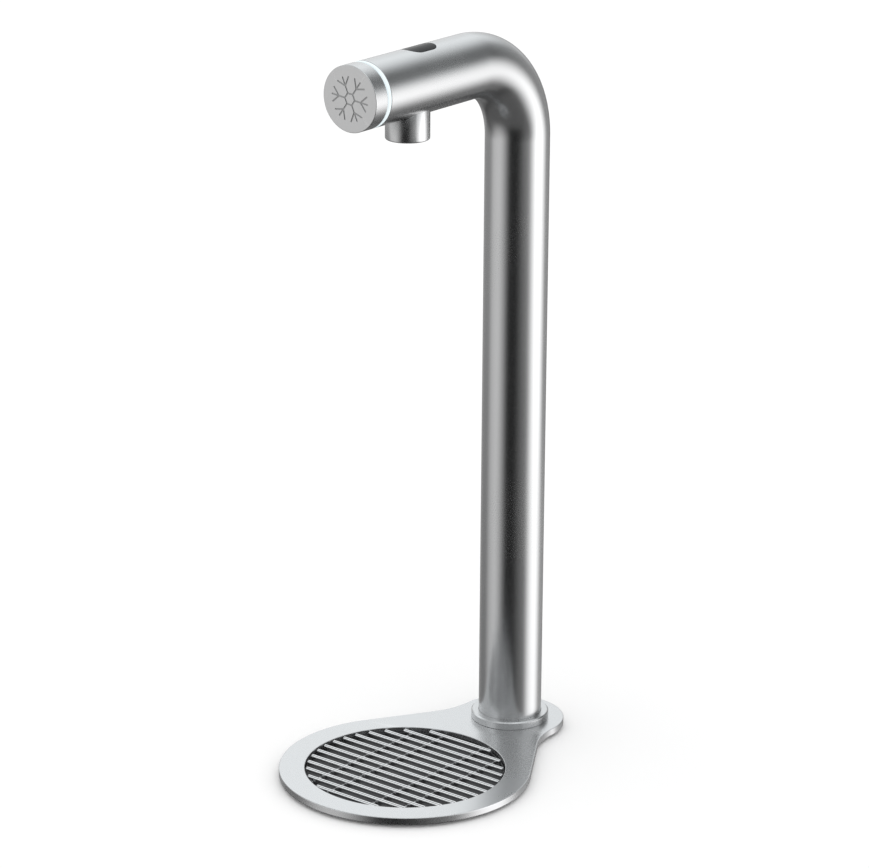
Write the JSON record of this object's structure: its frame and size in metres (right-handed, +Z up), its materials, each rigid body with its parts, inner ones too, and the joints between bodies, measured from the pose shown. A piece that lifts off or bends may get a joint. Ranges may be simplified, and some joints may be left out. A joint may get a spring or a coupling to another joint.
{
  "type": "countertop water dispenser",
  "caption": "Bent stainless tube tap tower on a flat base plate, with a lit push button on the arm's end, a spout, a sensor window and a round drip tray with a lift-out grille.",
  "frame": {"origin": "under the middle of the base plate, on the surface that the object stands on", "axes": "+Z up; the arm points towards -Y; X = 0 is the plane of symmetry"},
  "size_m": [0.157, 0.2194, 0.4618],
  "materials": {
    "satin_steel": "satin-brushed stainless steel",
    "bright_steel": "bright drawn stainless steel",
    "zinc_screw": "stainless screw",
    "spring_steel": "spring steel wire",
    "brass_fitting": "machined brass, nickel-free",
    "black_plastic": "black moulded plastic",
    "white_plastic": "white food-grade plastic",
    "dark_acrylic": "dark infrared-clear acrylic, flush and glossy",
    "lit_acrylic": "opal acrylic, lit cool white from behind",
    "silicone": "black silicone",
    "circuit_board": "green solder mask",
    "led_body": "white diode package",
    "hose": "milky polyethylene hose",
    "cable": "black cable jacket"
  },
  "bodies": {
    "stand": {"base_plate": "satin_steel", "tower_tube": "satin_steel", "foot_collar": "satin_steel", "nozzle_sleeve": "satin_steel", "tower_spigot": "satin_steel", "foot_screw_1": "zinc_screw", "foot_screw_2": "zinc_screw", "foot_screw_3": "zinc_screw", "foot_grub_screw": "zinc_screw", "head_setscrew": "zinc_screw", "sled_screw_1": "zinc_screw", "sled_screw_2": "zinc_screw", "button_spring": "spring_steel", "inlet_fitting": "brass_fitting", "head_plug": "black_plastic", "switch_body": "black_plastic", "sensor_sled": "black_plastic", "inlet_collet": "black_plastic", "nozzle_collet": "black_plastic", "cable_connector": "black_plastic", "outlet_ring": "black_plastic", "nozzle_elbow": "white_plastic", "flow_straightener": "white_plastic", "sensor_window": "dark_acrylic", "ir_receiver": "dark_acrylic", "light_ring": "lit_acrylic", "base_mat": "silicone", "collar_oring": "silicone", "nozzle_oring": "silicone", "head_oring": "silicone", "saddle_washer": "silicone", "window_gasket": "silicone", "led_board": "circuit_board", "switch_board": "circuit_board", "sensor_board": "circuit_board", "ir_emitter": "led_body", "led_1": "led_body", "led_2": "led_body", "led_3": "led_body", "led_4": "led_body", "led_5": "led_body", "led_6": "led_body", "water_hose": "hose", "cable_harness": "cable", "led_lead": "cable"},
    "drip_pan": {"drip_pan": "black_plastic"},
    "drip_grille": {"drip_grille": "bright_steel"},
    "button": {"button_cap": "satin_steel", "button_stem": "bright_steel", "retaining_clip": "spring_steel", "switch_plunger": "white_plastic"}
  },
  "joints": [
    {"name": "button_press", "type": "slide", "parent": "stand", "child": "button", "axis": [0, 1, 0], "range_m": [0, 0.0012], "stiffness_N_per_m": 500, "springref_m": -0.003, "deforming": ["button_spring"]},
    {"name": "drip_pan_lift", "type": "slide", "parent": "stand", "child": "drip_pan", "axis": [0, 0, 1], "range_m": [0, 0.06]},
    {"name": "grille_lift", "type": "slide", "parent": "drip_pan", "child": "drip_grille", "axis": [0, 0, 1], "range_m": [0, 0.05]}
  ]
}
